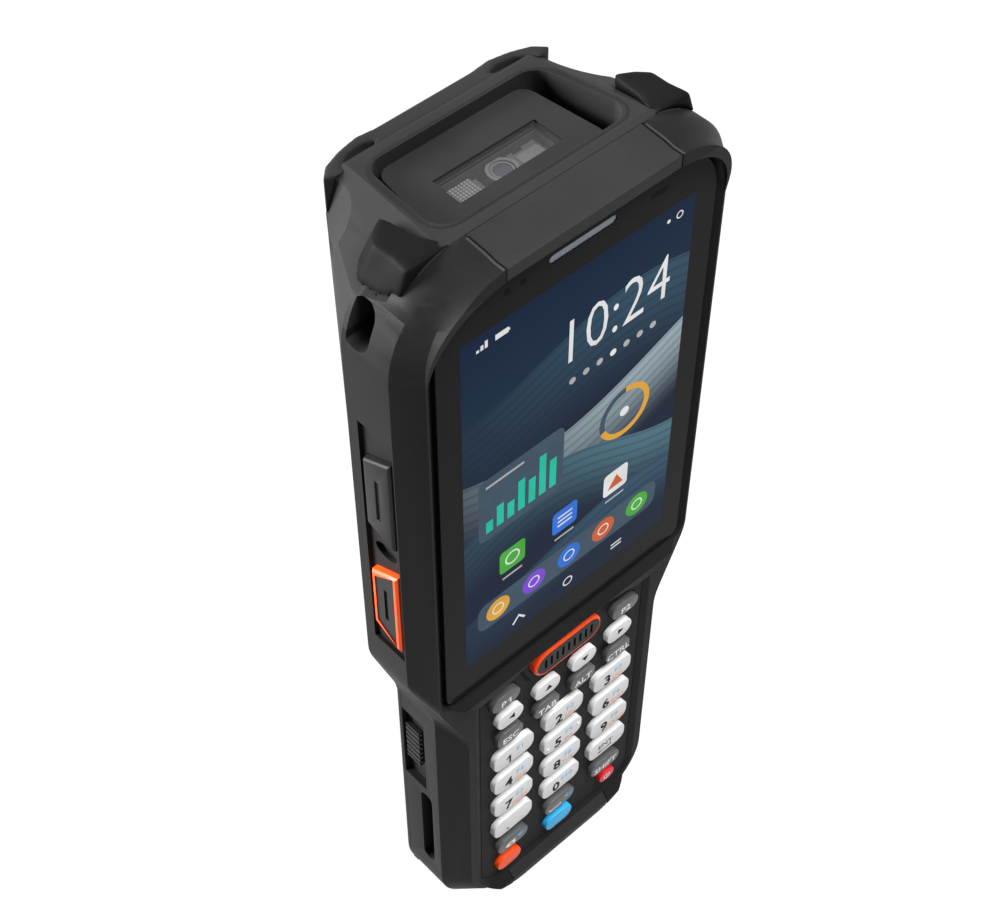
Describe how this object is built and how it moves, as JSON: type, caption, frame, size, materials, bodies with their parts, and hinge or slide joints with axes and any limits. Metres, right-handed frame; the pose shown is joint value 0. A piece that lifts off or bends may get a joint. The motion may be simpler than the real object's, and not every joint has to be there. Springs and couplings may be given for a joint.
{
  "type": "portable data terminal",
  "caption": "Rugged hand-held data terminal with a scan head, display, keypad with travelling keys, side buttons and a removable battery.",
  "frame": {"origin": "on the surface that the terminal stands on, midway between its sides and in the flat part of the foot", "axes": "+Z from the foot to the scan head, -Y out of the display, +X to the right seen from the front"},
  "size_m": [0.0752, 0.0402, 0.1987],
  "materials": {
    "housing": "satin moulded plastic",
    "soft_casing": "matte soft-touch rubber",
    "bumper": "satin rubber",
    "bezel": "satin moulded plastic",
    "keypad_panel": "matte plastic",
    "display_glass": "clear cover glass over a black border",
    "display_module": "display",
    "grille": "fine mesh",
    "window_frame": "matte plastic",
    "clear_window": "clear",
    "engine": "moulded optics",
    "board": "circuit board",
    "membrane": "silicone",
    "camera_glass": "dark glass",
    "screws": "black oxide",
    "seal": "silicone",
    "contacts": "gold plated",
    "battery": "cell pack",
    "dark_key": "matte rubber",
    "white_key": "satin",
    "grey_key": "satin",
    "orange_key": "satin",
    "blue_key": "satin",
    "red_key": "satin"
  },
  "bodies": {
    "root": {"front_housing": "housing", "rear_housing": "housing", "scan_head_cover": "soft_casing", "corner_bumpers": "bumper", "rear_bumper": "bumper", "top_bezel": "bezel", "bottom_bezel": "bezel", "keypad_panel": "keypad_panel", "display_glass": "display_glass", "display_module": "display_module", "receiver_grille": "grille", "scan_window_frame": "window_frame", "scan_window": "clear_window", "scan_engine": "engine", "main_board": "board", "keypad_membrane": "membrane", "speaker": "engine", "rear_camera": "engine", "camera_window": "camera_glass", "housing_screws": "screws", "housing_seal": "seal", "battery_contacts": "contacts"},
    "battery": {"battery_pack": "battery", "battery_cover": "housing"},
    "key_p1": {"key_p1": "grey_key"},
    "key_p2": {"key_p2": "grey_key"},
    "key_left": {"key_left": "white_key"},
    "key_up": {"key_up": "white_key"},
    "key_down": {"key_down": "white_key"},
    "key_right": {"key_right": "white_key"},
    "key_esc": {"key_esc": "grey_key"},
    "key_tab": {"key_tab": "grey_key"},
    "key_alt": {"key_alt": "grey_key"},
    "key_ctrl": {"key_ctrl": "grey_key"},
    "key_0": {"key_0": "white_key"},
    "key_1": {"key_1": "white_key"},
    "key_2": {"key_2": "white_key"},
    "key_3": {"key_3": "white_key"},
    "key_4": {"key_4": "white_key"},
    "key_5": {"key_5": "white_key"},
    "key_6": {"key_6": "white_key"},
    "key_7": {"key_7": "white_key"},
    "key_8": {"key_8": "white_key"},
    "key_9": {"key_9": "white_key"},
    "key_dot": {"key_dot": "white_key"},
    "key_enter": {"key_enter": "white_key"},
    "key_backspace": {"key_backspace": "grey_key"},
    "key_space": {"key_space": "grey_key"},
    "key_shift": {"key_shift": "grey_key"},
    "key_orange": {"key_orange": "orange_key"},
    "key_blue": {"key_blue": "blue_key"},
    "key_power": {"key_power": "red_key"},
    "key_scan": {"key_scan": "orange_key", "scan_key_insert": "dark_key"},
    "side_key_left": {"side_key_left": "dark_key"},
    "side_scan_key_left": {"side_scan_key_left": "orange_key"},
    "battery_latch_left": {"battery_latch_left": "dark_key"},
    "side_key_right": {"side_key_right": "dark_key"},
    "side_scan_key_right": {"side_scan_key_right": "orange_key"},
    "battery_latch_right": {"battery_latch_right": "dark_key"}
  },
  "joints": [
    {"name": "battery_lift", "type": "slide", "parent": "root", "child": "battery", "axis": [0, 1, 0], "range_m": [0, 0.012]},
    {"name": "battery_latch_left_slide", "type": "slide", "parent": "root", "child": "battery_latch_left", "axis": [0, 0, -1], "range_m": [0, 0.003], "stiffness_N_per_m": 300},
    {"name": "battery_latch_right_slide", "type": "slide", "parent": "root", "child": "battery_latch_right", "axis": [0, 0, -1], "range_m": [0, 0.003], "stiffness_N_per_m": 300},
    {"name": "side_key_left_press", "type": "slide", "parent": "root", "child": "side_key_left", "axis": [1, 0, 0], "range_m": [0, 0.0004], "stiffness_N_per_m": 1500},
    {"name": "side_scan_key_left_press", "type": "slide", "parent": "root", "child": "side_scan_key_left", "axis": [1, 0, 0], "range_m": [0, 0.0004], "stiffness_N_per_m": 1500},
    {"name": "side_key_right_press", "type": "slide", "parent": "root", "child": "side_key_right", "axis": [-1, 0, 0], "range_m": [0, 0.0004], "stiffness_N_per_m": 1500},
    {"name": "side_scan_key_right_press", "type": "slide", "parent": "root", "child": "side_scan_key_right", "axis": [-1, 0, 0], "range_m": [0, 0.0004], "stiffness_N_per_m": 1500},
    {"name": "key_scan_press", "type": "slide", "parent": "root", "child": "key_scan", "axis": [0, 1, 0], "range_m": [0, 0.0005], "stiffness_N_per_m": 1200},
    {"name": "key_power_press", "type": "slide", "parent": "root", "child": "key_power", "axis": [0, 1, 0], "range_m": [0, 0.0005], "stiffness_N_per_m": 1200},
    {"name": "key_p1_press", "type": "slide", "parent": "root", "child": "key_p1", "axis": [0, 1, 0], "range_m": [0, 0.0005], "stiffness_N_per_m": 1200},
    {"name": "key_p2_press", "type": "slide", "parent": "root", "child": "key_p2", "axis": [0, 1, 0], "range_m": [0, 0.0005], "stiffness_N_per_m": 1200},
    {"name": "key_left_press", "type": "slide", "parent": "root", "child": "key_left", "axis": [0, 1, 0], "range_m": [0, 0.0005], "stiffness_N_per_m": 1200},
    {"name": "key_up_press", "type": "slide", "parent": "root", "child": "key_up", "axis": [0, 1, 0], "range_m": [0, 0.0005], "stiffness_N_per_m": 1200},
    {"name": "key_down_press", "type": "slide", "parent": "root", "child": "key_down", "axis": [0, 1, 0], "range_m": [0, 0.0005], "stiffness_N_per_m": 1200},
    {"name": "key_right_press", "type": "slide", "parent": "root", "child": "key_right", "axis": [0, 1, 0], "range_m": [0, 0.0005], "stiffness_N_per_m": 1200},
    {"name": "key_esc_press", "type": "slide", "parent": "root", "child": "key_esc", "axis": [0, 1, 0], "range_m": [0, 0.0005], "stiffness_N_per_m": 1200},
    {"name": "key_tab_press", "type": "slide", "parent": "root", "child": "key_tab", "axis": [0, 1, 0], "range_m": [0, 0.0005], "stiffness_N_per_m": 1200},
    {"name": "key_alt_press", "type": "slide", "parent": "root", "child": "key_alt", "axis": [0, 1, 0], "range_m": [0, 0.0005], "stiffness_N_per_m": 1200},
    {"name": "key_ctrl_press", "type": "slide", "parent": "root", "child": "key_ctrl", "axis": [0, 1, 0], "range_m": [0, 0.0005], "stiffness_N_per_m": 1200},
    {"name": "key_0_press", "type": "slide", "parent": "root", "child": "key_0", "axis": [0, 1, 0], "range_m": [0, 0.0005], "stiffness_N_per_m": 1200},
    {"name": "key_1_press", "type": "slide", "parent": "root", "child": "key_1", "axis": [0, 1, 0], "range_m": [0, 0.0005], "stiffness_N_per_m": 1200},
    {"name": "key_2_press", "type": "slide", "parent": "root", "child": "key_2", "axis": [0, 1, 0], "range_m": [0, 0.0005], "stiffness_N_per_m": 1200},
    {"name": "key_3_press", "type": "slide", "parent": "root", "child": "key_3", "axis": [0, 1, 0], "range_m": [0, 0.0005], "stiffness_N_per_m": 1200},
    {"name": "key_4_press", "type": "slide", "parent": "root", "child": "key_4", "axis": [0, 1, 0], "range_m": [0, 0.0005], "stiffness_N_per_m": 1200},
    {"name": "key_5_press", "type": "slide", "parent": "root", "child": "key_5", "axis": [0, 1, 0], "range_m": [0, 0.0005], "stiffness_N_per_m": 1200},
    {"name": "key_6_press", "type": "slide", "parent": "root", "child": "key_6", "axis": [0, 1, 0], "range_m": [0, 0.0005], "stiffness_N_per_m": 1200},
    {"name": "key_7_press", "type": "slide", "parent": "root", "child": "key_7", "axis": [0, 1, 0], "range_m": [0, 0.0005], "stiffness_N_per_m": 1200},
    {"name": "key_8_press", "type": "slide", "parent": "root", "child": "key_8", "axis": [0, 1, 0], "range_m": [0, 0.0005], "stiffness_N_per_m": 1200},
    {"name": "key_9_press", "type": "slide", "parent": "root", "child": "key_9", "axis": [0, 1, 0], "range_m": [0, 0.0005], "stiffness_N_per_m": 1200},
    {"name": "key_dot_press", "type": "slide", "parent": "root", "child": "key_dot", "axis": [0, 1, 0], "range_m": [0, 0.0005], "stiffness_N_per_m": 1200},
    {"name": "key_enter_press", "type": "slide", "parent": "root", "child": "key_enter", "axis": [0, 1, 0], "range_m": [0, 0.0005], "stiffness_N_per_m": 1200},
    {"name": "key_backspace_press", "type": "slide", "parent": "root", "child": "key_backspace", "axis": [0, 1, 0], "range_m": [0, 0.0005], "stiffness_N_per_m": 1200},
    {"name": "key_space_press", "type": "slide", "parent": "root", "child": "key_space", "axis": [0, 1, 0], "range_m": [0, 0.0005], "stiffness_N_per_m": 1200},
    {"name": "key_shift_press", "type": "slide", "parent": "root", "child": "key_shift", "axis": [0, 1, 0], "range_m": [0, 0.0005], "stiffness_N_per_m": 1200},
    {"name": "key_orange_press", "type": "slide", "parent": "root", "child": "key_orange", "axis": [0, 1, 0], "range_m": [0, 0.0005], "stiffness_N_per_m": 1200},
    {"name": "key_blue_press", "type": "slide", "parent": "root", "child": "key_blue", "axis": [0, 1, 0], "range_m": [0, 0.0005], "stiffness_N_per_m": 1200}
  ]
}
